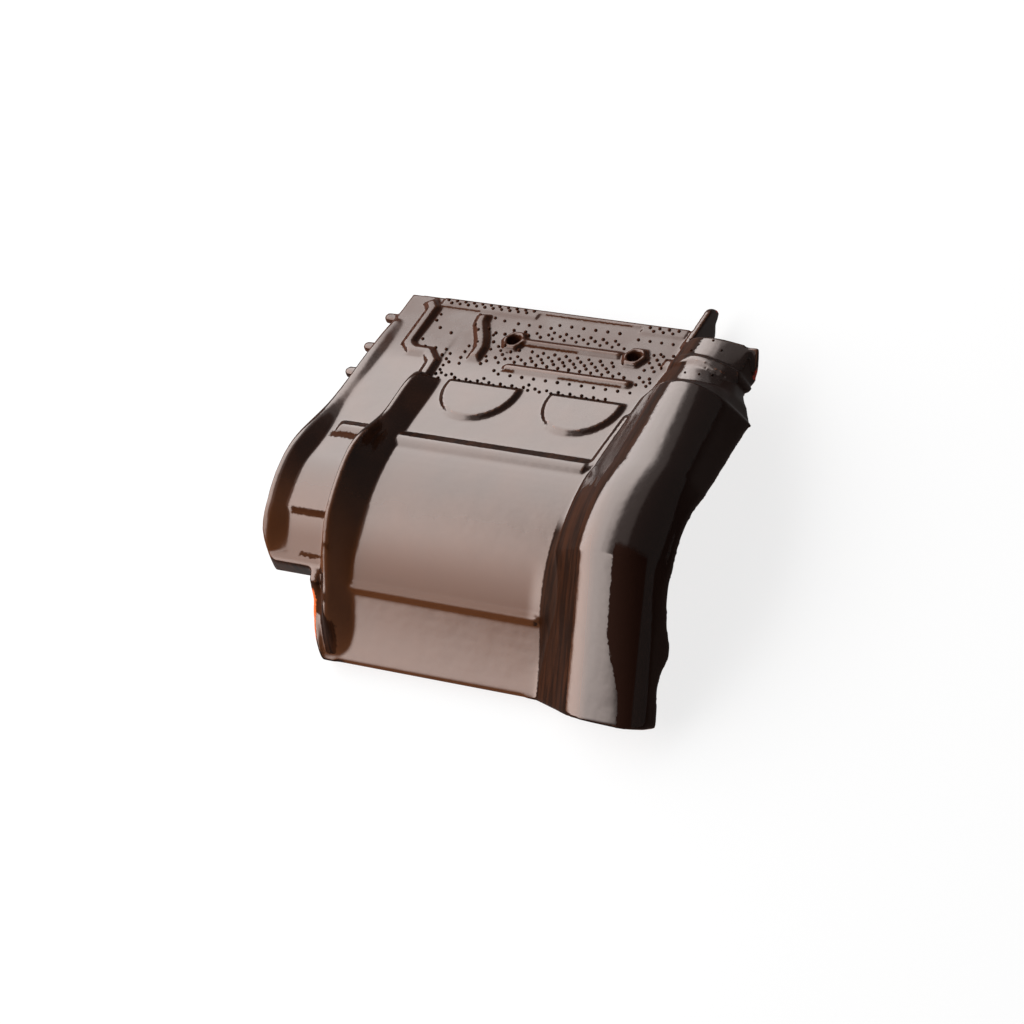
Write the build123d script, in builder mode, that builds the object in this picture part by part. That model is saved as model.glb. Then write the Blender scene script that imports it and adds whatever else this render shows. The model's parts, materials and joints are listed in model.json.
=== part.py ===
# Interlocking roof tile with one roll, kinked across its middle: one piece of fired clay.
# Drawn with its head plate level, x across, y up the slope, z out of the roof, then laid down to rest.
import os
from math import atan2, cos, degrees, radians, sin, tan

from build123d import *

os.makedirs("parts", exist_ok=True)

# driving dimensions, in mm and degrees
thick = 11.0
head_run = 122.0
bend_radius = 88.0
bend_angle = 56.0
lower_run = 48.0
pan_left = 48.0
pan_right = 192.0

# points that the bend gives
b = radians(bend_angle)
half = radians(bend_angle / 2)
arc_y = -head_run - bend_radius * sin(b)
arc_z = -bend_radius * (1 - cos(b))
tail_y = arc_y - lower_run * cos(b)
tail_z = arc_z - lower_run * sin(b)
arc_mid_y = -head_run - bend_radius * sin(half)
arc_mid_z = -bend_radius * (1 - cos(half))
in_radius = bend_radius - thick
arc_in_y = -head_run - in_radius * sin(b)
arc_in_z = -bend_radius + in_radius * cos(b)
in_mid_y = -head_run - in_radius * sin(half)
in_mid_z = -bend_radius + in_radius * cos(half)
tail_in_y = arc_in_y - lower_run * cos(b)
tail_in_z = arc_in_z - lower_run * sin(b)
bend_axis = Axis((0, -head_run, -bend_radius), (1, 0, 0))
tail_plane = Plane(origin=(0, tail_y, tail_z), x_dir=(1, 0, 0), z_dir=(0, -cos(b), -sin(b)))

# the lower panel is a little hollow, and its tail edge is round
panel_hollow = 0.9
tail_round = 2.5
edge_1y = tail_y + tail_round * cos(b)
edge_1z = tail_z + tail_round * sin(b)
edge_2y = tail_y + tail_round * sin(b)
edge_2z = tail_z - tail_round * cos(b)
round_in = tail_round * (1 - 0.7071)
edge_mid_y = tail_y + round_in * (cos(b) + sin(b))
edge_mid_z = tail_z + round_in * (sin(b) - cos(b))
panel_mid_y = (arc_y + edge_1y) / 2 + panel_hollow * sin(b)
panel_mid_z = (arc_z + edge_1z) / 2 - panel_hollow * cos(b)

# the pan: head plate, bend and lower panel in one side outline
with BuildPart() as pan:
    with BuildSketch(Plane.YZ.offset(pan_left - 2)):
        with BuildLine():
            Line((0, 0), (-head_run, 0))
            ThreePointArc((-head_run, 0), (arc_mid_y, arc_mid_z), (arc_y, arc_z))
            ThreePointArc((arc_y, arc_z), (panel_mid_y, panel_mid_z), (edge_1y, edge_1z))
            ThreePointArc((edge_1y, edge_1z), (edge_mid_y, edge_mid_z), (edge_2y, edge_2z))
            Line((edge_2y, edge_2z), (tail_in_y, tail_in_z))
            Line((tail_in_y, tail_in_z), (arc_in_y, arc_in_z))
            ThreePointArc((arc_in_y, arc_in_z), (in_mid_y, in_mid_z), (-head_run, -thick))
            Line((-head_run, -thick), (0, -thick))
            Line((0, -thick), (0, 0))
        make_face()
    extrude(amount=pan_right - pan_left + 2)

# the side lock on the left: floor, outer rib and inner rib
lock_flat = 143.0
lock_rise = 2.6
crease_y = -174.5
crease_z = -7.6
lock_end_y = -196.8
lock_fall = 46.0
lock_end_z = crease_z + (lock_end_y - crease_y) * tan(radians(lock_fall))
lock_face = 12.0
crease_step = 1.3
lip_foot_z = lock_end_z + 5.0 * tan(radians(lock_fall)) - 1.6
crest_right = 4.0
rib_foot = 14.5
inner_foot = 39.5
inner_left = 43.5
inner_right = 46.5
inner_slope = 60.0

with BuildPart() as lock_floor:
    with BuildSketch(Plane.YZ):
        with BuildLine():
            Line((0, 0), (-20, 0))
            Line((-20, 0), (-lock_flat, lock_rise))
            ThreePointArc((-lock_flat, lock_rise), (-160.5, -0.4), (crease_y, crease_z))
            Line((crease_y, crease_z), (crease_y - 0.4, crease_z - crease_step))
            Line((crease_y - 0.4, crease_z - crease_step), (lock_end_y + 5.0, lip_foot_z))
            Line((lock_end_y + 5.0, lip_foot_z), (lock_end_y + 2.5, lip_foot_z - 0.6))
            Line((lock_end_y + 2.5, lip_foot_z - 0.6), (lock_end_y, lock_end_z))
            Line((lock_end_y, lock_end_z), (lock_end_y + 4.0, lock_end_z - lock_face))
            Line((lock_end_y + 4.0, lock_end_z - lock_face), (-181.0, -32.5))
            ThreePointArc((-181.0, -32.5), (-164.0, -15.5), (-lock_flat, -thick + 1))
            Line((-lock_flat, -thick + 1), (-20, -thick))
            Line((-20, -thick), (0, -thick))
            Line((0, -thick), (0, 0))
        make_face()
    extrude(amount=pan_left)

# side outlines of the ribs, as points down the slope
outer_crest = [(-24, 0.9), (-50, 2.7), (-106, 4.4), (-140, 9.2), (-160, 4.9), (-176, -3.9)]
outer_end = [(-176, -3.9), (-186.5, -12.5), (-192.3, -23.0), (-194.5, -36.0)]
foot_line = [(-26, -1), (-50, -0.4), (-106, 0.8), (-140, 1.6), (-160, -1.2), (-174, -8.6)]
foot_end = [(-174, -8.6), (-182.0, -16.3), (-189.0, -23.6), (-196.0, -31.0)]
inner_crest = [(-67, 5.5), (-72, 7.4), (-107, 8.9), (-135, 15.4), (-162, 8.3), (-178, -0.6)]
inner_end = [(-178, -0.6), (-190, -12.8), (-205, -37.5), (-212.1, -49.0), (-215.2, -58.9), (-219.4, -74.2)]

with BuildPart() as outer_rib:
    with BuildSketch(Plane.YZ) as outer_outline:
        with BuildLine():
            Line((-19, -4), outer_crest[0])
            Spline(*outer_crest)
            Spline(*outer_end)
            Line(outer_end[-1], (-180, -24))
            Line((-180, -24), (-150, -4))
            Line((-150, -4), (-19, -4))
        make_face()
    extrude(amount=crest_right)
    with BuildSketch(Plane.YZ.offset(crest_right)):
        add(outer_outline.sketch_local)
    with BuildSketch(Plane.YZ.offset(rib_foot)):
        with BuildLine():
            Line((-24, -5), foot_line[0])
            Spline(*foot_line)
            Spline(*foot_end)
            Line(foot_end[-1], (-180, -26))
            Line((-180, -26), (-150, -6))
            Line((-150, -6), (-24, -5))
        make_face()
    loft(ruled=True)

# the inner rib is steep toward the channel and gentle toward the pan
with BuildPart() as inner_rib:
    with BuildSketch(Plane.YZ.offset(inner_left)) as inner_outline:
        with BuildLine():
            Line((-67, -3), inner_crest[0])
            Spline(*inner_crest)
            Spline(*inner_end)
            Line(inner_end[-1], (-212, -76))
            Line((-212, -76), (-185, -36))
            Line((-185, -36), (-150, -8))
            Line((-150, -8), (-67, -3))
        make_face()
    extrude(amount=inner_right - inner_left)
    with BuildSketch(Plane.YZ.offset(inner_left)):
        add(inner_outline.sketch_local)
    with BuildSketch(Plane.YZ.offset(inner_foot)):
        with BuildLine():
            Line((-67, -3), (-67, 0))
            Spline((-67, 0), (-70, 0.5), (-107, 1.0), (-135, 2.0), (-162, -1.5), (-176, -9.5))
            Spline((-176, -9.5), (-189, -23.5), (-200, -40.0), (-210, -57.0), (-220, -76.0))
            Line((-220, -76.0), (-212, -76))
            Line((-212, -76), (-185, -36))
            Line((-185, -36), (-150, -8))
            Line((-150, -8), (-67, -3))
        make_face()
    loft(ruled=True)
    with BuildSketch(Plane.YZ.offset(inner_right)):
        add(inner_outline.sketch_local)
    with BuildSketch(Plane.YZ.offset(inner_slope)):
        with BuildLine():
            Line((-67, -6), (-67, -1))
            Spline((-67, -1), (-70, -1), (-107, -1), (-135, -2.0), (-162, -11.0), (-174, -19.0))
            Spline((-174, -19.0), (-184, -29), (-197, -46), (-207, -60.0), (-219, -78.0))
            Line((-219, -78.0), (-212, -76))
            Line((-212, -76), (-185, -38))
            Line((-185, -38), (-150, -12))
            Line((-150, -12), (-67, -6))
        make_face()
    loft(ruled=True)

# the strip left of the inner rib, below the notch where the lock ends
strip_left = 33.0
strip_groove = 38.5
with BuildPart() as strip:
    with BuildSketch(Plane.YZ.offset(strip_left)):
        with BuildLine():
            Line((-188, -24), (-197.5, -32.0))
            Line((-197.5, -32.0), (-201.5, -35.5))
            Line((-201.5, -35.5), (-204.5, -48.0))
            Line((-204.5, -48.0), (tail_y - 1.2, tail_z + 1.6))
            Line((tail_y - 1.2, tail_z + 1.6), (tail_in_y, tail_in_z))
            Line((tail_in_y, tail_in_z), (arc_in_y, arc_in_z))
            Line((arc_in_y, arc_in_z), (-180, -32))
            Line((-180, -32), (-188, -24))
        make_face()
    extrude(amount=strip_groove - strip_left)
    with BuildSketch(Plane.YZ.offset(strip_groove)):
        with BuildLine():
            Line((-188, -24), (-196.5, -33.0))
            Line((-196.5, -33.0), (-199.5, -37.5))
            Line((-199.5, -37.5), (-202.5, -50.5))
            Line((-202.5, -50.5), (tail_y, tail_z))
            Line((tail_y, tail_z), (tail_in_y, tail_in_z))
            Line((tail_in_y, tail_in_z), (arc_in_y, arc_in_z))
            Line((arc_in_y, arc_in_z), (-180, -32))
            Line((-180, -32), (-188, -24))
        make_face()
    extrude(amount=pan_left - strip_groove)

# the roll: left slope, round top, flat flank, thin wall over a hollow
roll_x = 221.3
roll_z = -9.9
roll_radius = 31.0
slope_angle = 45.0
flank_angle = 54.5
edge_x = 259.5
edge_z = -9.5
wall = 10.5
inner_radius = roll_radius - wall
shoulder_y = -60.0
roll_bend = 32.0

sl = radians(slope_angle)
fl = radians(flank_angle)
sl_x = roll_x - roll_radius * sin(sl)
sl_z = roll_z + roll_radius * cos(sl)
foot_x = sl_x - sl_z / tan(sl)
top_1x = roll_x - roll_radius * sin(radians(18))
top_1z = roll_z + roll_radius * cos(radians(18))
top_2x = roll_x + roll_radius * sin(radians(26))
top_2z = roll_z + roll_radius * cos(radians(26))
high_x = roll_x + roll_radius * sin(radians(4))
high_z = roll_z + roll_radius * cos(radians(4))
fl_x = roll_x + roll_radius * sin(fl)
fl_z = roll_z + roll_radius * cos(fl)
in_sl_x = roll_x - inner_radius * sin(sl)
in_sl_z = roll_z + inner_radius * cos(sl)
in_foot_x = in_sl_x - (in_sl_z + thick) / tan(sl)
in_fl_x = roll_x + inner_radius * sin(fl)
in_fl_z = roll_z + inner_radius * cos(fl)
lip_x = edge_x - 8.0
lip_z = edge_z - 4.0

# three sections of the roll: at the shoulder, through the bend and at the tail
with BuildSketch() as shoulder_section:
    with BuildLine():
        Line((foot_x - 4, 0), (foot_x, 0))
        Line((foot_x, 0), (sl_x, sl_z))
        Spline((sl_x, sl_z), (top_1x, top_1z), (high_x, high_z), (top_2x, top_2z), (fl_x, fl_z))
        Line((fl_x, fl_z), (edge_x, edge_z))
        Line((edge_x, edge_z), (lip_x, lip_z))
        Line((lip_x, lip_z), (in_fl_x, in_fl_z))
        ThreePointArc((in_fl_x, in_fl_z), (roll_x, roll_z + inner_radius), (in_sl_x, in_sl_z))
        Line((in_sl_x, in_sl_z), (in_foot_x, -thick))
        Line((in_foot_x, -thick), (foot_x - 4, -thick))
        Line((foot_x - 4, -thick), (foot_x - 4, 0))
    make_face()

with BuildSketch() as bend_section:
    with BuildLine():
        Line((181.0, 0), (185.5, 0))
        Line((185.5, 0), (203.0, 12.0))
        Spline((203.0, 12.0), (213.0, 17.4), (228.0, 19.4), (242.0, 17.0), (253.0, 8.0))
        Line((253.0, 8.0), (263.0, -8.0))
        Line((263.0, -8.0), (255.0, -12.0))
        Line((255.0, -12.0), (244.5, 1.5))
        ThreePointArc((244.5, 1.5), (227.0, 9.0), (209.0, 3.5))
        Line((209.0, 3.5), (193.5, -thick))
        Line((193.5, -thick), (181.0, -thick))
        Line((181.0, -thick), (181.0, 0))
    make_face()

with BuildSketch() as tail_section:
    with BuildLine():
        Line((174.0, 0), (180.6, 0))
        Line((180.6, 0), (202.5, 10.4))
        Spline((202.5, 10.4), (213.0, 14.7), (230.0, 16.0), (247.0, 14.5), (256.5, 9.5))
        Line((256.5, 9.5), (264.5, -8.0))
        Line((264.5, -8.0), (256.5, -12.0))
        Line((256.5, -12.0), (247.5, 0.5))
        ThreePointArc((247.5, 0.5), (228.0, 5.6), (209.0, 1.5))
        Line((209.0, 1.5), (193.5, -thick))
        Line((193.5, -thick), (174.0, -thick))
        Line((174.0, -thick), (174.0, 0))
    make_face()

rb = radians(roll_bend)
kink_y = -head_run - bend_radius * sin(rb)
kink_z = -bend_radius * (1 - cos(rb))
kink_plane = Plane(origin=(0, kink_y, kink_z), x_dir=(1, 0, 0), z_dir=(0, -cos(rb), -sin(rb)))

# the roll's tail is cut a little askew, so that its free side hangs lower than the pan
tail_skew = 2.2
skew_x = cos(radians(tail_skew))
skew_s = sin(radians(tail_skew))
skew_back = 180.6 * tan(radians(tail_skew))
roll_tail_plane = Plane(
    origin=(0, tail_y + skew_back * cos(b), tail_z + skew_back * sin(b)),
    x_dir=(skew_x, -skew_s * cos(b), -skew_s * sin(b)),
    z_dir=(-skew_s, -skew_x * cos(b), -skew_x * sin(b)),
)

with BuildPart() as roll_upper:
    with BuildSketch(Plane.XZ.offset(-shoulder_y)):
        add(shoulder_section.sketch_local)
    with BuildSketch(Plane.XZ.offset(head_run)):
        add(bend_section.sketch_local)
    loft(ruled=True)

with BuildPart() as roll_bent:
    with BuildSketch(Plane.XZ.offset(head_run)):
        add(bend_section.sketch_local)
    revolve(axis=bend_axis, revolution_arc=roll_bend)

with BuildPart() as roll_lower:
    with BuildSketch(kink_plane):
        add(bend_section.sketch_local)
    with BuildSketch(roll_tail_plane):
        add(tail_section.sketch_local)
    loft(ruled=True)

# the flank's lower edge is cut along a curve with a shallow lobe near the tail
with BuildPart() as roll:
    add(roll_upper.part)
    add(roll_bent.part)
    add(roll_lower.part)
    with BuildSketch(Plane.YZ.offset(243)):
        with BuildLine():
            Polyline((-56, -7.2), (-75, -6.0), (-95, -5.2), (-133, -3.4))
            Spline((-133, -3.4), (-148, -6.5), (-163, -13.5), (-174, -22.5), (-182.0, -32.5))
            Spline((-182.0, -32.5), (-189.0, -43.5), (-194.5, -52.0), (-199.5, -55.5))
            Spline((-199.5, -55.5), (-206.0, -59.0), (-213.0, -66.0), (-226.0, -82.5))
            Polyline((-226.0, -82.5), (-226, -110), (-56, -110), (-56, -7.2))
        make_face()
    extrude(amount=30, mode=Mode.SUBTRACT)

# the neck at the head end is lower, to go under the roll of the tile above
neck_head = -12.0
neck_flare = -38.0
neck_end = -50.0
neck_foot = 191.6
neck_bottom = -11.0
seam_step = 0.8

with BuildSketch() as neck_head_section:
    with BuildLine():
        Line((neck_foot - 5, 0), (neck_foot, 0))
        Spline((neck_foot, 0), (200.0, 7.2), (213.5, 9.5), (226.0, 7.9), (236.5, 5.4))
        Line((236.5, 5.4), (241.5, neck_bottom))
        Line((241.5, neck_bottom), (233.5, neck_bottom))
        Spline((233.5, neck_bottom), (227.0, -3.0), (215.0, -0.6), (205.0, -3.5), (200.0, neck_bottom))
        Line((200.0, neck_bottom), (neck_foot - 5, neck_bottom))
        Line((neck_foot - 5, neck_bottom), (neck_foot - 5, 0))
    make_face()

with BuildSketch() as flare_section:
    with BuildLine():
        Line((neck_foot - 5, 0), (neck_foot, 0))
        Spline((neck_foot, 0), (200.0, 6.8), (213.0, 9.6), (226.0, 7.8), (237.5, 3.0))
        Line((237.5, 3.0), (245.5, neck_bottom))
        Line((245.5, neck_bottom), (236.5, neck_bottom))
        Spline((236.5, neck_bottom), (228.5, -3.4), (215.0, -0.6), (204.0, -4.0), (199.5, neck_bottom))
        Line((199.5, neck_bottom), (neck_foot - 5, neck_bottom))
        Line((neck_foot - 5, neck_bottom), (neck_foot - 5, 0))
    make_face()

with BuildSketch() as neck_end_section:
    with BuildLine():
        Line((neck_foot - 6, 0), (neck_foot - 1, 0))
        Spline((neck_foot - 1, 0), (200.0, 7.2), (214.0, 10.2), (230.0, 9.4), (243.5, 4.8))
        Line((243.5, 4.8), (254.5, neck_bottom))
        Line((254.5, neck_bottom), (245.0, neck_bottom))
        Spline((245.0, neck_bottom), (236.0, -3.0), (220.0, 0.4), (205.5, -3.0), (199.0, neck_bottom))
        Line((199.0, neck_bottom), (neck_foot - 6, neck_bottom))
        Line((neck_foot - 6, neck_bottom), (neck_foot - 6, 0))
    make_face()

# where the neck meets the roll it stays a little inside it, which leaves a seam line
with BuildSketch() as seam_section:
    with BuildLine():
        Line((foot_x - 4, 0), (foot_x, 0))
        Spline(
            (foot_x, 0),
            (sl_x + seam_step, sl_z - seam_step),
            (high_x, high_z - seam_step),
            (238.5, 14.6),
            (fl_x - seam_step, fl_z - seam_step),
        )
        Line((fl_x - seam_step, fl_z - seam_step), (258.2, neck_bottom))
        Line((258.2, neck_bottom), (249.5, neck_bottom))
        Spline(
            (249.5, neck_bottom),
            (in_fl_x - 1, in_fl_z - 1.5),
            (roll_x, roll_z + inner_radius - 1.5),
            (in_sl_x + 1, in_sl_z - 1.5),
            (in_foot_x + 2, neck_bottom),
        )
        Line((in_foot_x + 2, neck_bottom), (foot_x - 4, neck_bottom))
        Line((foot_x - 4, neck_bottom), (foot_x - 4, 0))
    make_face()

# the ring is a slice of the same shape raised by its height, a little askew and sloped on its lower side
ring_high = 1.5
ring_top = 9.6 + ring_high
ring_skew = radians(6)
ring_plane = Plane(
    origin=(214, 0, 0),
    x_dir=(sin(ring_skew), cos(ring_skew), 0),
    z_dir=(cos(ring_skew), -sin(ring_skew), 0),
)
with BuildPart() as ring:
    with BuildSketch(Plane.XZ.offset(-neck_head)):
        with Locations((0.6, ring_high)):
            add(neck_head_section.sketch_local)
    with BuildSketch(Plane.XZ.offset(-neck_flare)):
        with Locations((0.6, ring_high)):
            add(flare_section.sketch_local)
    loft(ruled=True)
    with BuildSketch(ring_plane):
        with BuildLine():
            Polyline((-29.0, -12), (-29.0, ring_top + 1), (-33.2, ring_top + 1), (-33.2, ring_top + 0.1))
            Polyline((-33.2, ring_top + 0.1), (-36.0, 9.2), (-36.0, -12), (-29.0, -12))
        make_face()
    extrude(amount=40, both=True, mode=Mode.INTERSECT)

with BuildPart() as shoulder:
    with BuildSketch(Plane.XZ.offset(-neck_end)):
        add(neck_end_section.sketch_local)
    with BuildSketch(Plane.XZ.offset(-shoulder_y)):
        add(seam_section.sketch_local)
    loft(ruled=True)

with BuildPart() as flare:
    with BuildSketch(Plane.XZ.offset(-neck_flare)):
        add(flare_section.sketch_local)
    with BuildSketch(Plane.XZ.offset(-neck_end)):
        add(neck_end_section.sketch_local)
    loft(ruled=True)

with BuildPart() as neck:
    with BuildSketch(Plane.XZ.offset(-neck_head)):
        add(neck_head_section.sketch_local)
    with BuildSketch(Plane.XZ.offset(-neck_flare)):
        add(flare_section.sketch_local)
    loft(ruled=True)
    add(flare.part)
    add(shoulder.part)
    add(ring.part)
    # a lip runs round the corner of the neck's free side
    with BuildSketch(Plane.YZ.offset(236.3)):
        with BuildLine():
            Line((neck_head, 6.1), (-14.0, 6.1))
            Spline((-14.0, 6.1), (-18.0, 1.6), (-23.0, -3.0), (-28.0, -7.2))
            Polyline((-28.0, -7.2), (-28.0, neck_bottom), (neck_head, neck_bottom), (neck_head, 6.1))
        make_face()
    extrude(amount=4.9)
    # the free edge rises to the head at one end and in a shallow bay at the other
    with BuildSketch(Plane.YZ.offset(231)):
        with BuildLine():
            Line((-11, 5.2), (-12.5, 3.8))
            Spline((-12.5, 3.8), (-15.0, -0.2), (-18.5, -4.8), (-23.0, -7.2), (-31.0, -6.8))
            Spline((-31.0, -6.8), (-38.0, -5.6), (-45.0, -3.6), (-52.0, -5.2), (-60.5, -7.2))
            Polyline((-60.5, -7.2), (-60.5, -30), (-11, -30), (-11, 5.2))
        make_face()
    extrude(amount=40, mode=Mode.SUBTRACT)

# raised work on the head plate
bead_top = 1.9
hole_radius = 4.3
hole_y = -28.5
hole_left = 87.0
hole_right = 167.4
rim_radius = 8.0
rim_height = 2.8
ridge_height = 2.4
plate_height = 2.4
plate_radius = 25.0
band_height = 0.8
ridge_width = 5.2
panel_height = 1.2

with BuildPart() as bead:
    with BuildSketch(Plane.YZ.offset(58)):
        with BuildLine():
            Line((-108, -1), (-109.5, 0))
            Spline((-109.5, 0), (-112.5, 0.7), (-115.5, bead_top), (-118.5, bead_top), (-121.2, 1.2))
            Line((-121.2, 1.2), (-122.2, -0.8))
            Line((-122.2, -0.8), (-122.2, -2))
            Line((-122.2, -2), (-108, -1))
        make_face()
    extrude(amount=124)
    with BuildSketch(Plane.YZ.offset(18)):
        with BuildLine():
            Line((-110, 1), (-112, 2))
            ThreePointArc((-112, 2), (-117.5, bead_top + 2.0), (-122.4, 1.5))
            Line((-122.4, 1.5), (-122.4, 0))
            Line((-122.4, 0), (-110, 1))
        make_face()
    extrude(amount=22)
    # the same bead turns up beside the roll's foot and fades
    with BuildSketch(Plane.XY.offset(-1)):
        with BuildLine():
            Line((176, -118.5), (178, -118.5))
            TangentArc((178, -118.5), (185.5, -110), tangent=(1, 0))
            Line((185.5, -110), (187.0, -74))
        trace(line_width=4)
    extrude(amount=panel_height + 1)

# a round bead where the lower panel begins, as two arcs back to back
lower_bead_up = 45.5
bead_y = tail_y + lower_bead_up * cos(b) + 0.8
bead_z = tail_z + lower_bead_up * sin(b) - 0.6
bead_half_y = 3.4 * cos(radians(55))
bead_half_z = 3.4 * sin(radians(55))
bead_rise_y = 2.1 * sin(radians(55))
bead_rise_z = 2.1 * cos(radians(55))
bead_foot = (bead_y - bead_half_y, bead_z - bead_half_z)
bead_head = (bead_y + bead_half_y, bead_z + bead_half_z)
with BuildPart() as lower_bead:
    with BuildSketch(Plane.YZ.offset(57)):
        with BuildLine():
            ThreePointArc(bead_foot, (bead_y - bead_rise_y, bead_z + bead_rise_z), bead_head)
            ThreePointArc(bead_head, (bead_y + bead_rise_y, bead_z - bead_rise_z), bead_foot)
        make_face()
    extrude(amount=124)

with BuildPart() as reliefs:
    with BuildSketch(Plane.XY.offset(-1)):
        with Locations((hole_left, hole_y), (hole_right, hole_y)):
            RegularPolygon(rim_radius + 1, 6)
    extrude(amount=rim_height + 1, taper=22)
    with BuildSketch(Plane.XY.offset(-1)):
        with Locations(((90 + 160) / 2, -28.1)):
            SlotOverall(160 - 90, ridge_width + 1.4)
        with Locations(((90 + 177) / 2, -50.0)):
            SlotOverall(177 - 90, ridge_width + 1.8)
    extrude(amount=ridge_height + 1, taper=35)
    with BuildSketch(Plane.XY.offset(-1)):
        with Locations((88.0, -70.5), (156.2, -70.5)):
            Circle(plate_radius + 1)
        with Locations((88.0, -54.5), (156.2, -54.5)):
            Rectangle(60, 20, mode=Mode.SUBTRACT)
    extrude(amount=plate_height + 1, taper=42)
    # the head edge is thicker beside a shallow recess in its middle
    with BuildSketch(Plane.XY.offset(-1)):
        with BuildLine():
            Polyline((24, 0), (24, -7.5), (90, -7.5), (90, -3.3), (160, -3.3), (160, -7.5), (189, -7.5), (189, 0))
            Line((189, 0), (24, 0))
        make_face()
    extrude(amount=band_height + 1)

serpent_width = 9.0
serpent_height = 3.0
with BuildPart() as serpents:
    with BuildSketch(Plane.XY.offset(-1)):
        with BuildLine():
            Polyline((15, -4), (21.3, -11), (21.5, -42), (27, -47), (38, -47), (45, -54), (46.0, -70))
        trace(line_width=serpent_width + 2)
    extrude(amount=serpent_height + 1, taper=40)
    with BuildSketch(Plane.XY.offset(-1)):
        with BuildLine():
            Polyline((56.5, -9), (58, -18), (66, -31), (69, -38), (69, -49))
        trace(line_width=serpent_width + 2)
    extrude(amount=serpent_height + 1, taper=40)

# lugs on the left edge, the fin past the head edge and the nibs under the head
lug_reach = 8.0
fin_x = 190.6
fin_wide = 4.0
fin_reach = 23.5
nib_deep = 20.0
nib_y = -30.0
nib_long = 14.0
nib_wide = 34.0

with BuildPart() as lugs:
    with BuildSketch(Plane.XY.offset(-7)):
        with Locations((-2, -18.5), (-2, -44.3), (-2, -66.5)):
            SlotCenterToCenter(2 * lug_reach - 6, 6)
    extrude(amount=5)

with BuildPart() as fin:
    with BuildSketch(Plane.YZ.offset(fin_x)):
        with BuildLine():
            Polyline((-16, -10), (-16, 1), (15, 1.2))
            ThreePointArc((15, 1.2), (22.0, -2.5), (fin_reach, -7.0))
            Polyline((fin_reach, -7.0), (18.0, -9.5), (14.0, -16.5), (6, -16.5), (-4, -10), (-16, -10))
        make_face()
    extrude(amount=fin_wide)

with BuildPart() as nibs:
    with BuildSketch(Plane.XY.offset(-thick + 1)):
        with Locations((60, nib_y), (141, nib_y)):
            RectangleRounded(nib_wide, nib_long, 4)
    extrude(amount=-nib_deep - 1, taper=8)

# everything left of the pan is trimmed to its outline from above, with round corners and a notch
with BuildPart() as left_side:
    add(lock_floor.part)
    add(outer_rib.part)
    add(inner_rib.part)
    add(strip.part)
    with BuildSketch(Plane.XY.offset(-100)):
        with BuildLine():
            Polyline((0, 0), (70, 0), (70, -230), (40, -230))
            Line((40, -230), (40, tail_y - 1.0))
            Spline((40, tail_y - 1.0), (35.5, tail_y + 4.0), (strip_left, tail_y + 14.0))
            Line((strip_left, tail_y + 14.0), (strip_left, -201.5))
            ThreePointArc((strip_left, -201.5), (31.6, -198.2), (28.0, -196.7))
            Line((28.0, -196.7), (12.0, -196.7))
            ThreePointArc((12.0, -196.7), (3.5, -194.0), (0, -187.0))
            Line((0, -187.0), (0, 0))
        make_face()
    extrude(amount=140, mode=Mode.INTERSECT)

with BuildPart() as whole:
    add(pan.part)
    add(left_side.part)
    add(roll.part)
    add(neck.part)
    add(bead.part)
    add(lower_bead.part)
    add(reliefs.part)
    add(serpents.part)
    add(lugs.part)
    add(fin.part)
    add(nibs.part)
    with BuildSketch(Plane.XY.offset(rim_height + 2)):
        with Locations((hole_left, hole_y), (hole_right, hole_y)):
            Circle(hole_radius)
    extrude(amount=-(thick + rim_height + 6), mode=Mode.SUBTRACT)

# laid to rest: the foot of the nibs and the lower edge of the tail come level
rest_angle = degrees(atan2(-thick - nib_deep - tail_in_z, nib_y - tail_in_y))
with BuildPart() as turned:
    add(whole.part, rotation=(-rest_angle, 0, 0))

box = turned.part.bounding_box()
mid_x = (box.min.X + box.max.X) / 2
mid_y = (box.min.Y + box.max.Y) / 2
with BuildPart() as roof_tile:
    with Locations((-mid_x, -mid_y, -box.min.Z)):
        add(turned.part)

roof_tile.part.label = "roof_tile"
export_step(roof_tile.part, "parts/roof_tile.step")
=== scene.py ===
import json
import random
from math import asin

import bpy
import numpy as np
from mathutils import Euler, Matrix, Vector

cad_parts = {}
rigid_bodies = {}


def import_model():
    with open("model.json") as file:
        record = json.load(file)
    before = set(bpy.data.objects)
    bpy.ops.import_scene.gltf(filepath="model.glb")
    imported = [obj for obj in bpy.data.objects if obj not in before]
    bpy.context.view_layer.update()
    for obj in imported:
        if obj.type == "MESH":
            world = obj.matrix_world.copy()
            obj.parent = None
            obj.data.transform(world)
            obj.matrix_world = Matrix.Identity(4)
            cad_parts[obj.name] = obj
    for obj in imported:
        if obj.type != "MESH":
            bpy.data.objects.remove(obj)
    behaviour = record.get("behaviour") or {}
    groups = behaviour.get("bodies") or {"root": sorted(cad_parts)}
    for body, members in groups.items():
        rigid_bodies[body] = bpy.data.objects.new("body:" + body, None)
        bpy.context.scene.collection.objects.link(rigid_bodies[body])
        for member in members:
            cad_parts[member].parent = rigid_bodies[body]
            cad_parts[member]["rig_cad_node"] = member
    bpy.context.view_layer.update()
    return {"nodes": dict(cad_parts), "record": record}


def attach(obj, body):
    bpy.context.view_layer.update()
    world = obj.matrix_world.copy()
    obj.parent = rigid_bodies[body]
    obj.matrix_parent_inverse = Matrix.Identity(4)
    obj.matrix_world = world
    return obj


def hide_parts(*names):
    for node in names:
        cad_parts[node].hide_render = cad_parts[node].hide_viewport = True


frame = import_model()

# Place of the head plate
# The tile lies on its nibs and tail, so its head plate leans back. The two nail holes of the
# record stand square on that plate, and they give its lean and where its corner lies.
nails = {m["name"]: m for m in frame["record"]["mounts"]}
lean = asin(nails["nail_hole_left"]["axis"][1])
hole_on_plate = Vector((0.087, -0.0285, -0.0041))
plate_turn = Matrix.Rotation(-lean, 4, "X")
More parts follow.
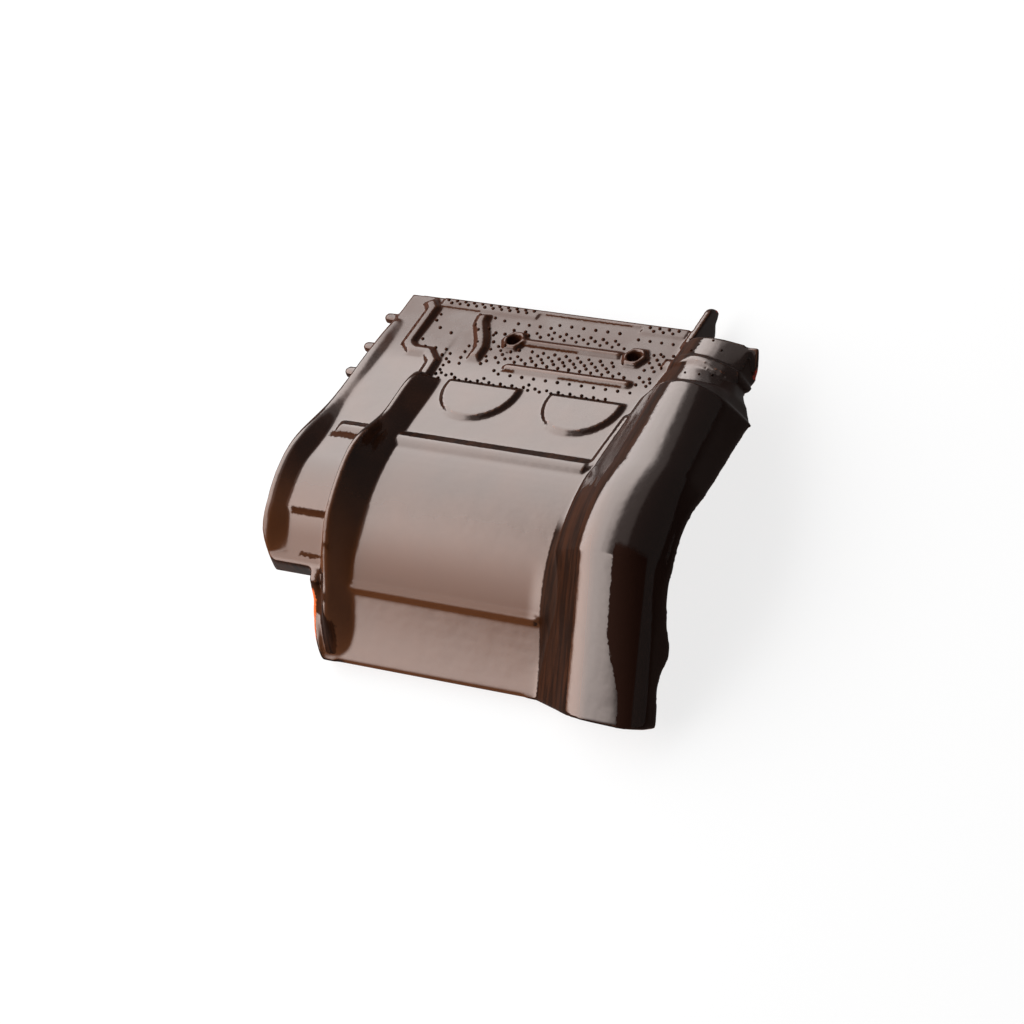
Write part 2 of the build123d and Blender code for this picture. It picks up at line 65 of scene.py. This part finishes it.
plate_move = Vector(nails["nail_hole_left"]["pos_m"]) - plate_turn @ hole_on_plate
plate = Matrix.Translation(plate_move) @ plate_turn
corner = plate.inverted()

# Camera
# A long lens well back from the tail's right corner, where the photograph was taken from. Its place
# and its turns are given on the head plate.
lens_mm = 146.02
sensor_mm = 36.0
seen_from = Vector((1.3385, -1.45843, 1.44118))
turned = Euler((0.851128, 0.276298, 0.50315))

camera_data = bpy.data.cameras.new("camera")
camera_data.lens = lens_mm
camera_data.sensor_width = sensor_mm
camera_data.clip_end = 50.0
camera = bpy.data.objects.new("camera", camera_data)
camera.matrix_world = plate @ Matrix.LocRotScale(seen_from, turned, None)
bpy.context.scene.collection.objects.link(camera)
bpy.context.scene.camera = camera

# Tile body
# One piece of pressed clay, glazed before firing. The glaze rounds every edge a little, so a merged
# copy of the solid is remeshed finely and its edges are eased. The copy stands for the solid.
merge_gap = 0.00001
voxel = 0.0008
most_triangles = 190000

solid = frame["nodes"]["roof_tile"]
bpy.ops.object.select_all(action="DESELECT")
solid.select_set(True)
bpy.context.view_layer.objects.active = solid
bpy.ops.object.duplicate()
tile = bpy.context.active_object
tile.name = "tile_body"
del tile["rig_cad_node"]
bpy.ops.object.mode_set(mode="EDIT")
bpy.ops.mesh.select_all(action="SELECT")
bpy.ops.mesh.remove_doubles(threshold=merge_gap)
bpy.ops.object.mode_set(mode="OBJECT")
grain = tile.modifiers.new("grain", "REMESH")
grain.mode = "VOXEL"
grain.voxel_size = voxel
bpy.ops.object.modifier_apply(modifier=grain.name)

# The outline, and most of all the roll's free edge, are rubbed rounder than the raised work. Their
# bounds are millimetres on the head plate, and the numbers beside the groups are smoothing turns.
outline_left, outline_right, outline_foot = 8, 232, -9
free_edge_left, free_edge_top, free_edge_fade = 246, -62, 5
outline = tile.vertex_groups.new(name="outline")
free_edge = tile.vertex_groups.new(name="free_edge")
for vertex in tile.data.vertices:
    at = 1000 * (corner @ vertex.co)
    if at.x > free_edge_left and at.y < free_edge_top:
        free_edge.add([vertex.index], min(1.0, (at.x - free_edge_left) / free_edge_fade), "REPLACE")
    if at.x > outline_right or at.z < outline_foot or at.x < outline_left:
        outline.add([vertex.index], 1.0, "REPLACE")
for name, group, turns in (("eased", "", 8), ("rubbed", "outline", 16), ("worn_round", "free_edge", 70)):
    eased = tile.modifiers.new(name, "SMOOTH")
    eased.factor = 0.5
    eased.iterations = turns
    eased.vertex_group = group
    bpy.ops.object.modifier_apply(modifier=eased.name)
tile.vertex_groups.clear()

# Three values are kept at each vertex for the glaze: how sharply the surface turns, how well it lies to
# mirror what is overhead as seen from the lens, which sets where shade is painted, and how far it faces
# down.
count = len(tile.data.vertices)
edge_ends = np.empty(len(tile.data.edges) * 2, np.int32)
tile.data.edges.foreach_get("vertices", edge_ends)
first, second = edge_ends.reshape(-1, 2).T
ends = np.concatenate([first, second])
shares = np.bincount(ends, minlength=count)


def vertex_vectors(kind):
    values = np.empty(count * 3, np.float32)
    tile.data.vertices.foreach_get(kind, values)
    return values.reshape(-1, 3)


def spread(values):
    """Give each vertex the mean of its neighbours, twice."""
    for turn in range(2):
        values = np.bincount(ends, np.concatenate([values[second], values[first]]), count) / shares
    return values


def keep_values(name, values):
    attribute = tile.data.attributes.new(name, "FLOAT", "POINT")
    attribute.data.foreach_set("value", values.astype(np.float32))


spots = vertex_vectors("co")
normals = vertex_vectors("normal")
step = spots[second] - spots[first]
bend = ((normals[second] - normals[first]) * step).sum(1) / (step * step).sum(1)
turning = np.bincount(ends, np.concatenate([bend, bend]), count) / shares
keep_values("sharp", spread(turning))

out_of_tail = np.array((0.522, -0.379, 0.763))
overhead = 2 * (normals @ out_of_tail) * normals[:, 2] - out_of_tail[2]
keep_values("leaning", spread(overhead))
keep_values("under", np.clip(-normals[:, 2] * 1.6, 0, 1))

fewer = tile.modifiers.new("fewer", "DECIMATE")
fewer.ratio = most_triangles / sum(len(face.vertices) - 2 for face in tile.data.polygons)
bpy.ops.object.modifier_apply(modifier=fewer.name)
bpy.ops.object.shade_smooth()


class Shade:
    """A value, colour or shader on its way through a material's nodes."""

    def __init__(self, tree, socket=None):
        self.tree = tree
        self.socket = socket

    def node(self, kind, settings=None, inputs=None, output=0):
        """Add a node, with its settings first and then the values or links of its sockets."""
        made = self.tree.nodes.new(kind)
        for name, value in (settings or {}).items():
            setattr(made, name, value)
        for name, value in (inputs or {}).items():
            if isinstance(value, Shade):
                self.tree.links.new(value.socket, made.inputs[name])
            else:
                made.inputs[name].default_value = value
        return Shade(self.tree, made.outputs[output])

    def maths(self, operation, *others):
        values = dict(enumerate((self, *others)))
        return self.node("ShaderNodeMath", {"operation": operation}, values)

    def __add__(self, other):
        return self.maths("ADD", other)

    def __radd__(self, other):
        return self.maths("ADD", other)

    def __sub__(self, other):
        return self.maths("SUBTRACT", other)

    def __rsub__(self, other):
        return self.maths("MULTIPLY", -1.0).maths("ADD", other)

    def __mul__(self, other):
        return self.maths("MULTIPLY", other)

    def __rmul__(self, other):
        return self.maths("MULTIPLY", other)

    def most(self, *others):
        """The greatest of this value and the others."""
        greatest = self
        for other in others:
            greatest = greatest.maths("MAXIMUM", other)
        return greatest

    def ramp(self, low, high, start=0.0, end=1.0):
        """A soft change from start to end while this value goes from low to high."""
        settings = {"interpolation_type": "SMOOTHSTEP"}
        inputs = {"Value": self, "From Min": low, "From Max": high, "To Min": start, "To Max": end}
        return self.node("ShaderNodeMapRange", settings, inputs)

    def band(self, low, high, soft):
        """One between low and high, and nought past them."""
        return self.ramp(low - soft, low + soft) * self.ramp(high + soft, high - soft)

    def noise(self, scale, detail, roughness=0.5, distortion=0.0):
        inputs = {"Vector": self, "Scale": scale, "Detail": detail}
        inputs.update({"Roughness": roughness, "Distortion": distortion})
        return self.node("ShaderNodeTexNoise", {}, inputs)

    def parts(self, amount):
        """The first parts of a vector, such as its x and y."""
        return [self.node("ShaderNodeSeparateXYZ", {}, {"Vector": self}, part) for part in range(amount)]

    def tint(self, under, over):
        """The colour over, where this mask is one, and else the colour under."""
        inputs = {"Factor": self, 6: under, 7: over}
        return self.node("ShaderNodeMix", {"data_type": "RGBA"}, inputs, 2)

    def surface(self):
        """End the material with this shader, in place of the one it came with."""
        self.tree.nodes.remove(self.tree.nodes["Principled BSDF"])
        self.tree.links.new(self.socket, self.tree.nodes["Material Output"].inputs["Surface"])


# The glaze is drawn in millimetres on the head plate: across it, up its slope, and off it.
glaze = bpy.data.materials.new("brown_glaze")
glaze.use_nodes = True
start = Shade(glaze.node_tree)
place = start.node("ShaderNodeTexCoord", output=3)
to_plate = {
    "Vector": place,
    "Rotation": (lean, 0.0, 0.0),
    "Scale": (1000.0, 1000.0, 1000.0),
    "Location": tuple(1000 * corner.translation),
}
on_plate = start.node("ShaderNodeMapping", {}, to_plate)
across, upslope, height = on_plate.parts(3)
cloud = on_plate.noise(0.045, 4.0)
fleck = on_plate.noise(0.6, 3.0)
ripple = on_plate.noise(0.09, 2.0)
drawn_down = start.node("ShaderNodeMapping", {}, {"Vector": on_plate, "Scale": (0.3, 0.022, 0.022)})
streak = drawn_down.noise(1.0, 5.0, 0.6, 0.7)
turning_here = start.node("ShaderNodeAttribute", {"attribute_name": "sharp"}, {}, 2)
overhead_here = start.node("ShaderNodeAttribute", {"attribute_name": "leaning"}, {}, 2)
below = start.node("ShaderNodeAttribute", {"attribute_name": "under"}, {}, 2)
cloudy = cloud - 0.5
flecky = fleck - 0.5
streaky = streak - 0.5
torn = flecky * 3.0

# Painted shade: on the slopes that face away from the light and would mirror only what lies low, and all
# along the roll's lower foot, the glaze is made matt brown, streaked where it runs thinner. Higher up, the
# roll's foot keeps streaks of shine.
mirrors_nothing = 0.34
upper_slope = upslope.ramp(-146.0, -132.0) * upslope.ramp(-52.0, -58.0)
upper_slope = upper_slope * across.ramp(180.0, 184.0) * across.ramp(210.0, 206.0)
foot_shine = (overhead_here + streaky * 0.35).ramp(-0.26, -0.36) * upper_slope
painted_dull_shade = (overhead_here - mirrors_nothing) * -3.3
painted_dull_shade = painted_dull_shade.maths("MINIMUM", 1.0).maths("MAXIMUM", 0.0) - foot_shine
roll_foot_shade = (across + torn * 0.5).band(181.8, 208.6, 0.5) * upslope.ramp(-150.0, -160.0)
thin_glaze_and_painted_shade = (painted_dull_shade + streaky * 0.9 + flecky * 0.3).ramp(0.42, 0.66).most(roll_foot_shade)
edge_thin = (turning_here + flecky * 160).ramp(110.0, 210.0)

# Painted shadow: the roll's low right side is made dark and matt up to a ragged line. Painted shade: so is
# the neck's left side but for the crest of its ring, and the pimpled top of the head plate in cloudy
# blotches that break up the softbox's reflection there.
ragged = across + torn * 0.9 - upslope.ramp(-203.0, -229.0) * 9.5
roll_side_shadow = ragged.ramp(232.0, 232.7) * across.ramp(250.4, 249.4) * (upslope + torn).ramp(-171.0, -175.0)
ring_crest = (upslope + torn * 0.3).band(-34.4, -30.6, 0.5)
neck_left_shade = (across + torn * 1.4).band(192.5, 207.0, 0.5) * (upslope + torn).band(-50.0, -7.0, 0.8)
neck_left_shade = neck_left_shade * (1.0 - ring_crest)
head_shade_blotches = upslope.ramp(-60.0, -34.0) * across.ramp(194.0, 186.0) * (cloud * 0.5 + 0.12)

# Brown lines lie across the water channel and at the feet of the beads: left, right, low and high end.
foot_lines = (
    (15.0, 44.0, -176.6, -173.9),
    (24.0, 52.0, -8.4, -7.0),
    (94.0, 153.0, -4.1, -2.9),
    (92.0, 131.0, -31.2, -29.8),
    (91.0, 100.0, -53.4, -51.8),
    (129.0, 171.0, -53.2, -52.0),
)
lines = (across + torn).band(15.0, 34.0, 1.0) * (upslope + torn).band(-125.2, -120.6, 0.5)
for left, right, low, high in foot_lines:
    line = (across + torn).band(left, right, 1.0) * (upslope + torn * 0.4).band(low, high, 0.4)
    lines = lines.most(line)
lock_patch = (across + torn).band(24.0, 48.0, 1.0) * (upslope + torn * 1.2).band(-192.6, -190.4, 0.5)
end_patch = (upslope + torn).band(-209.0, -201.5, 0.5) * across.ramp(46.5, 45.5) * height.ramp(-38.0, -40.0)
lines = (lines * height.ramp(-16.0, -12.0)).most(lock_patch, end_patch)

# Bare clay shows on the lower left edge, in chips at the fin's tip and the neck's right end, and underneath.
bare_side = (across + flecky * 2.5).ramp(36.0, 34.6) * height.ramp(-40.0, -43.0) * height.ramp(-78.0, -74.0)
bare_side = bare_side * upslope.ramp(-200.0, -203.0) * below.ramp(0.5, 0.2)
fin_chip = upslope.ramp(20.3, 21.3) * fleck.ramp(0.44, 0.5)
neck_chip = across.ramp(240.3, 241.2) * upslope.ramp(-27.0, -25.0) * upslope.ramp(-15.5, -17.5)
neck_chip = neck_chip * height.ramp(-2.2, -3.6) * fleck.ramp(0.4, 0.47)
chip = fin_chip.most(neck_chip)
under_bare = (below + cloudy * 0.9).ramp(0.5, 0.75)

# Down the tail the glaze is made matt and warm brown: most at the low bend, as painted shade where it turns
# down before the bead, less in the lock, as painted shade below its crease, and least on the panel.
between_ribs = across.ramp(50.0, 58.0) * across.ramp(180.0, 172.0)
low_bend_shade = upslope.ramp(-166.0, -193.0) * upslope.ramp(-199.5, -197.0) * between_ribs * 0.6
low_lock_shade = upslope.ramp(-172.0, -186.0) * across.ramp(49.0, 47.0) * height.ramp(-30.0, -28.0) * 0.42
low_panel = upslope.ramp(-195.0, -199.0) * between_ribs * 0.12
low_shade_warm = low_bend_shade.most(low_lock_shade, low_panel)

# The full glaze, dark brown and glossy, a little wavy. On the roll's right side and on the fin, which face
# away from the softbox, its colour is painted darker: painted shade.
deep = (0.018, 0.0060, 0.0034, 1)
warm = (0.036, 0.0115, 0.0052, 1)
tail_brown = (0.095, 0.030, 0.0095, 1)
# Painted shade for the sides that face away from the softbox.
right_shade_dark = (0.011, 0.0045, 0.0033, 1)
worn = (0.105, 0.036, 0.015, 1)
on_tail = upslope.ramp(-140.0, -190.0) * (0.7 + cloud * 0.5)
fin_shade = across.ramp(188.0, 190.0) * upslope.ramp(-3.0, 1.0)
right_side_shade = across.ramp(214.0, 224.0).most(fin_shade)
glaze_and_shade_colour = cloud.ramp(0.35, 0.7).tint(deep, warm)
glaze_and_shade_colour = on_tail.tint(glaze_and_shade_colour, tail_brown)
glaze_and_shade_colour = right_side_shade.tint(glaze_and_shade_colour, right_shade_dark)
glaze_and_shade_colour = (edge_thin * 0.6).tint(glaze_and_shade_colour, worn)
wavy = start.node("ShaderNodeBump", {}, {"Height": ripple, "Strength": 0.4, "Distance": 0.0003})
glossy_inputs = {
    "Base Color": glaze_and_shade_colour,
    "Roughness": fleck.ramp(0.3, 0.8, 0.13, 0.2),
    "IOR": 1.75,
    "Specular Tint": (1.0, 0.85, 0.79, 1),
    "Normal": wavy,
}
glossy = start.node("ShaderNodeBsdfPrincipled", {}, glossy_inputs)

# The glaze where it runs thinner, the bare clay and the painted shade, brown to orange and matt.
streak_dark = (0.009, 0.0026, 0.0011, 1)
streak_light = (0.036, 0.0108, 0.0040, 1)
line_brown = (0.050, 0.0150, 0.0050, 1)
# Painted shadow on the roll's low right side, and painted shade in blotches on the head's top.
side_shadow_brown = (0.0165, 0.0062, 0.0042, 1)
head_blotch_shade_brown = (0.052, 0.0170, 0.0085, 1)
bare_clay = (0.86, 0.16, 0.04, 1)
chip_clay = (0.30, 0.022, 0.010, 1)
under_clay = (0.40, 0.135, 0.062, 1)
clay_and_shade_colour = streak.ramp(0.36, 0.66).tint(streak_dark, streak_light)
clay_and_shade_colour = right_side_shade.tint(clay_and_shade_colour, right_shade_dark)
clay_and_shade_colour = low_shade_warm.ramp(0.0, 0.1).tint(clay_and_shade_colour, tail_brown)
clay_and_shade_colour = head_shade_blotches.ramp(0.0, 0.1).tint(clay_and_shade_colour, head_blotch_shade_brown)
clay_and_shade_colour = (lines * (fleck + 0.35)).tint(clay_and_shade_colour, line_brown)
clay_and_shade_colour = roll_side_shadow.tint(clay_and_shade_colour, side_shadow_brown)
clay_and_shade_colour = under_bare.tint(clay_and_shade_colour, under_clay)
clay_and_shade_colour = bare_side.tint(clay_and_shade_colour, bare_clay)
clay_and_shade_colour = chip.tint(clay_and_shade_colour, chip_clay)
matt_inputs = {
    "Base Color": clay_and_shade_colour,
    "Roughness": 0.5,
    "IOR": 1.13,
    "Specular Tint": (1.0, 0.5, 0.3, 1),
}
matt = start.node("ShaderNodeBsdfPrincipled", {}, matt_inputs)
dull_clay_and_shade = (thin_glaze_and_painted_shade * 0.97).most(bare_side, chip, neck_left_shade, under_bare, low_shade_warm, lines, roll_side_shadow, head_shade_blotches)
start.node("ShaderNodeMixShader", {}, {0: dull_clay_and_shade, 1: glossy, 2: matt}).surface()

tile.data.materials.clear()
tile.data.materials.append(glaze)
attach(tile, "root")
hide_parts("roof_tile")

# Pimples
# Low dots pressed into the head plate with the clay, about two millimetres across, so that the tile
# above doesn't suck against it. They stand in staggered rows: how far up the slope each row lies, where
# it begins, its pitch and how many dots it has.
dome_radius = 0.0011
dome_cut = -0.0002
dot_rows = (
    (-2.0, 27.0, 5.9, 11), (-4.2, 30.2, 5.75, 10), (-2.7, 164.2, 6.3, 4), (-5.4, 167.8, 6.3, 3),
    (-10.0, 107.4, 8.05, 6), (-13.2, 81.0, 7.4, 4), (-13.0, 161.5, 7.6, 4), (-16.5, 107.2, 8.2, 6),
    (-18.9, 81.2, 7.8, 10), (-21.6, 92.5, 8.0, 9), (-22.2, 181.0, 8.2, 2), (-23.6, 177.2, 6.2, 2),
    (-27.0, 181.0, 6.2, 2), (-30.2, 177.6, 6.4, 2), (-33.4, 181.0, 6.2, 2), (-36.4, 177.4, 6.4, 2),
    (-42.6, 177.5, 6.5, 2), (-45.6, 181.6, 4.2, 2), (-48.6, 178.2, 6.6, 2), (-23.0, 71.0, 6.2, 2),
    (-30.4, 73.5, 7.0, 1), (-33.6, 78.6, 7.0, 1), (-36.6, 75.0, 6.8, 3), (-34.4, 84.2, 9.0, 2),
    (-39.6, 84.6, 10.4, 2), (-42.8, 75.2, 6.4, 3), (-46.4, 77.5, 8.0, 2), (-49.2, 75.0, 7.0, 1),
    (-53.2, 86.4, 7.0, 1), (-34.1, 101.8, 7.6, 9), (-36.9, 107.0, 7.2, 8), (-39.3, 103.5, 7.2, 8),
    (-41.8, 91.2, 7.25, 11), (-44.3, 95.2, 7.3, 11), (-55.5, 90.5, 7.95, 12), (-60.6, 83.7, 30.3, 2),
    (-63.1, 65.2, 7.75, 14), (-64.9, 69.0, 7.75, 13), (-42.0, 33.0, 7.3, 3), (-44.6, 51.6, 7.0, 1),
    (-47.0, 47.6, 7.0, 1), (-49.2, 51.6, 7.0, 1), (-51.4, 54.6, 7.0, 2), (-54.6, 52.4, 7.0, 1),
    (-58.4, 52.5, 7.0, 1), (-60.8, 54.7, 7.0, 2), (-62.2, 51.6, 7.0, 2), (-65.2, 55.0, 7.0, 1),
    (-36.4, 60.0, 7.0, 1), (-41.4, 60.0, 7.0, 1), (-46.5, 60.0, 7.0, 1), (-11.0, 54.0, 10.0, 2),
    (-16.5, 54.0, 10.6, 1), (-20.6, 56.4, 8.7, 2), (-25.0, 61.0, 9.4, 2), (-14.0, 28.0, 7.0, 1),
    (-12.4, 71.2, 7.0, 1), (-19.3, 28.0, 7.0, 1), (-25.0, 33.7, 7.0, 1), (-28.0, 43.0, 7.0, 1),
    (-36.2, 28.0, 7.0, 1),
)
neck_dots = [(204.0, -24.0), (214.0, -15.0), (222.0, -21.0), (210.0, -43.0), (219.0, -43.0), (226.0, -41.0)]
small_dots = [(18.6, -13.5 - 5.0 * k) for k in range(7)]
small_dots += [(66.0, -34.8 - 5.1 * k) for k in range(3)] + [(97.0 + 8.8 * k, -47.1) for k in range(7)]
small_dots += neck_dots
dots = [(begin + pitch * k, y, 1.0) for y, begin, pitch, amount in dot_rows for k in range(amount)]
dots += [(x, y, 0.75) for x, y in small_dots]

bpy.ops.object.select_all(action="DESELECT")
bpy.ops.mesh.primitive_uv_sphere_add(segments=12, ring_count=8, radius=dome_radius)
dome = bpy.context.active_object
bpy.ops.object.mode_set(mode="EDIT")
bpy.ops.mesh.select_all(action="SELECT")
bpy.ops.mesh.bisect(plane_co=(0, 0, dome_cut), plane_no=(0, 0, 1), clear_inner=True, use_fill=True)
bpy.ops.object.mode_set(mode="OBJECT")
bpy.ops.object.shade_smooth()
random.seed(7)
into_plate = plate.to_3x3() @ Vector((0, 0, -1))
copies = []
for x, y, size in dots:
    above = plate @ Vector((x / 1000, y / 1000, 0.05))
    spot, normal = tile.ray_cast(above, into_plate)[1:3]
    width = size * random.uniform(0.9, 1.06)
    tall = size * random.uniform(0.72, 0.95)
    stand = normal.to_track_quat("Z", "Y")
    copy = dome.copy()
    copy.data = dome.data.copy()
    copy.matrix_world = Matrix.LocRotScale(spot, stand, Vector((width, width, tall)))
    bpy.context.scene.collection.objects.link(copy)
    copies.append(copy)
bpy.data.objects.remove(dome)
bpy.ops.object.select_all(action="DESELECT")
for copy in copies:
    copy.select_set(True)
bpy.context.view_layer.objects.active = copies[0]
bpy.ops.object.join()
pimples = bpy.context.active_object
pimples.name = "pimples"
bpy.ops.object.transform_apply(location=True, rotation=True, scale=True)
pimples.data.materials.clear()
pimples.data.materials.append(glaze)
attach(pimples, "root")

# Floor
# A plain pale floor. Its paint glows a little to the lens and in the glaze, so that it stays near white
# in the picture and still takes the tile's shadow.
floor_width = 8.0
glow_share = 0.8
bpy.ops.mesh.primitive_plane_add(size=floor_width)
floor = bpy.context.active_object
floor.name = "floor"
floor_paint = bpy.data.materials.new("floor_paint")
floor_paint.use_nodes = True
ray = Shade(floor_paint.node_tree)
seen, shiny, clear = (ray.node("ShaderNodeLightPath", output=kind) for kind in (0, 3, 6))
paint = ray.node("ShaderNodeBsdfPrincipled", {}, {"Base Color": (0.95, 0.95, 0.95, 1), "Roughness": 0.8})
white = ray.node("ShaderNodeEmission")
share = seen.most(shiny, clear) * glow_share
ray.node("ShaderNodeMixShader", {}, {0: share, 1: paint, 2: white}).surface()
floor.data.materials.append(floor_paint)

# Light
# A faint even light all round, and one very large softbox on the side of the lock, brightest over its
# lower middle and dim towards its top, which the roll's right side mirrors.
world = bpy.data.worlds.new("world")
bpy.context.scene.world = world
world.use_nodes = True
world.node_tree.nodes["Background"].inputs["Color"].default_value = (1, 1, 1, 1)
world.node_tree.nodes["Background"].inputs["Strength"].default_value = 0.09
bpy.context.scene.view_settings.view_transform = "Standard"

bright_middle = 4.0
dim_top = 0.42
bpy.ops.mesh.primitive_plane_add(size=1.0)
softbox = bpy.context.active_object
softbox.name = "softbox"
softbox.dimensions = (4.0, 7.8, 0)
bpy.ops.object.transform_apply(location=False, rotation=False, scale=True)
softbox.rotation_euler = (0, -0.95, 0)
softbox.location = (-0.751, 1.0, 2.138)
cloth = bpy.data.materials.new("softbox_cloth")
cloth.use_nodes = True
lit = Shade(cloth.node_tree)
up_cloth, along_cloth = lit.node("ShaderNodeTexCoord", output=3).parts(2)
widened = up_cloth - along_cloth.ramp(-2.0, -2.6) * 0.5
middle = along_cloth.ramp(2.4, 1.3) * along_cloth.ramp(-3.7, -2.5) * widened.ramp(0.02, -0.55)
power = middle * bright_middle + dim_top * up_cloth.ramp(2.0, 1.2)
lit.node("ShaderNodeEmission", {}, {"Strength": power}).surface()
softbox.data.materials.append(cloth)
